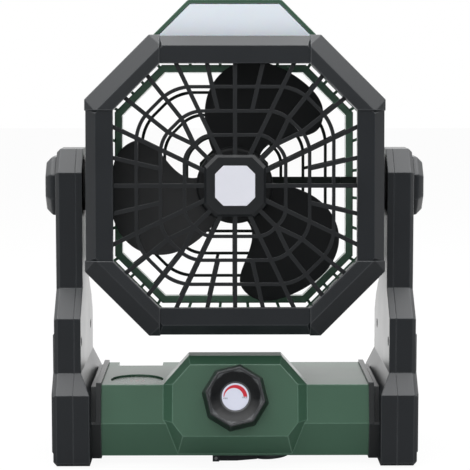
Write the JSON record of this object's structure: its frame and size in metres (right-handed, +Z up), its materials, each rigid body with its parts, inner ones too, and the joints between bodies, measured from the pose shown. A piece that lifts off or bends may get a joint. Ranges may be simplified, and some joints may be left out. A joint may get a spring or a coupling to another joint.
{
  "type": "portable camping fan",
  "caption": "Free-standing battery fan with a square cut-corner head that tilts between two arms, a light bar on top and a speed knob on the base.",
  "frame": {"origin": "middle of the fan's whole footprint, at the level of the feet's pads", "axes": "+X to the right, -Y the front with the control panel, +Z up"},
  "size_m": [0.2516, 0.1324, 0.3031],
  "materials": {
    "black_plastic": "moulded, fine satin grain",
    "grille_plastic": "moulded satin",
    "knob_plastic": "semi-gloss moulded",
    "blade_plastic": "moulded satin",
    "green_plastic": "moulded satin",
    "dark_green_plastic": "moulded satin",
    "lamp_window": "frosted diffuser",
    "white_plate": "smooth printed plate",
    "rubber": "matt",
    "steel": "zinc plated",
    "circuit_board": "solder mask",
    "component_black": "moulded",
    "cell_wrap": "shrink wrap"
  },
  "bodies": {
    "stand": {"arm_screws": "steel", "base_cover": "black_plastic", "base_housing": "green_plastic", "base_screws": "steel", "battery_cells": "cell_wrap", "battery_holder": "black_plastic", "charge_board": "circuit_board", "charge_socket": "steel", "control_board": "circuit_board", "foot_bolts": "steel", "foot_pads": "rubber", "friction_pads": "rubber", "hook_pin": "steel", "lamp_switch": "component_black", "left_arm_inner_shell": "black_plastic", "left_arm_outer_shell": "black_plastic", "left_collar": "black_plastic", "right_arm_inner_shell": "black_plastic", "right_arm_outer_shell": "black_plastic", "right_collar": "black_plastic", "speed_control": "component_black", "switch_board": "circuit_board"},
    "head": {"front_bezel": "black_plastic", "front_grille": "grille_plastic", "grille_screws": "steel", "hub_badge": "white_plate", "rear_shell": "green_plastic", "rear_grille": "dark_green_plastic", "wire_duct": "dark_green_plastic", "motor_can": "steel", "motor_end_cap": "black_plastic", "motor_screws": "steel", "lamp_housing": "green_plastic", "lamp_lens": "lamp_window", "lamp_board": "circuit_board", "lamp_screws": "steel", "right_head_boss": "black_plastic", "left_head_boss": "black_plastic", "tilt_inserts": "steel", "lower_left_corner_guard": "black_plastic", "lower_right_corner_guard": "black_plastic", "upper_left_corner_guard": "black_plastic", "upper_right_corner_guard": "black_plastic"},
    "impeller": {"motor_rotor": "steel", "motor_shaft": "steel", "fan_blades": "blade_plastic", "blade_nut": "steel"},
    "knob": {"speed_knob": "knob_plastic", "knob_disc": "white_plate", "speed_shaft": "steel"},
    "button": {"lamp_button": "green_plastic"},
    "charge_flap": {"port_cover": "rubber"},
    "hook": {"hanging_hook": "black_plastic"},
    "left_clamp": {"left_tilt_knob": "black_plastic", "left_tilt_bolt": "steel"},
    "right_clamp": {"right_tilt_knob": "black_plastic", "right_tilt_bolt": "steel"}
  },
  "joints": [
    {"name": "head_tilt", "type": "hinge", "parent": "stand", "child": "head", "pos_m": [0, 0.00619, 0.18], "axis": [-1, 0, 0], "range_deg": [-93.3, 86.7]},
    {"name": "fan_spin", "type": "hinge", "parent": "head", "child": "impeller", "pos_m": [0, 0.00619, 0.18], "axis": [0, -0.9983, 0.0576], "continuous": true},
    {"name": "speed_turn", "type": "hinge", "parent": "stand", "child": "knob", "pos_m": [0, -0.04739, 0.04505], "axis": [0, 0.9659, -0.2588], "range_deg": [0, 270]},
    {"name": "button_press", "type": "slide", "parent": "stand", "child": "button", "axis": [0, 0, -1], "range_m": [0, 0.0015], "stiffness_N_per_m": 600, "springref_m": -0.0006},
    {"name": "port_cover_swing", "type": "hinge", "parent": "stand", "child": "charge_flap", "pos_m": [-0.06505, 0.03449, 0.0296], "axis": [-1, 0, 0], "range_deg": [0, 95]},
    {"name": "hook_fold", "type": "hinge", "parent": "stand", "child": "hook", "pos_m": [-0.0126, -0.03001, 0.0029], "axis": [0, 1, 0], "range_deg": [0, 95]},
    {"name": "left_clamp_turn", "type": "hinge", "parent": "stand", "child": "left_clamp", "pos_m": [-0.12, 0.00619, 0.18], "axis": [-1, 0, 0], "range_deg": [0, 180]},
    {"name": "right_clamp_turn", "type": "hinge", "parent": "stand", "child": "right_clamp", "pos_m": [0.12, 0.00619, 0.18], "axis": [1, 0, 0], "range_deg": [0, 180]}
  ]
}
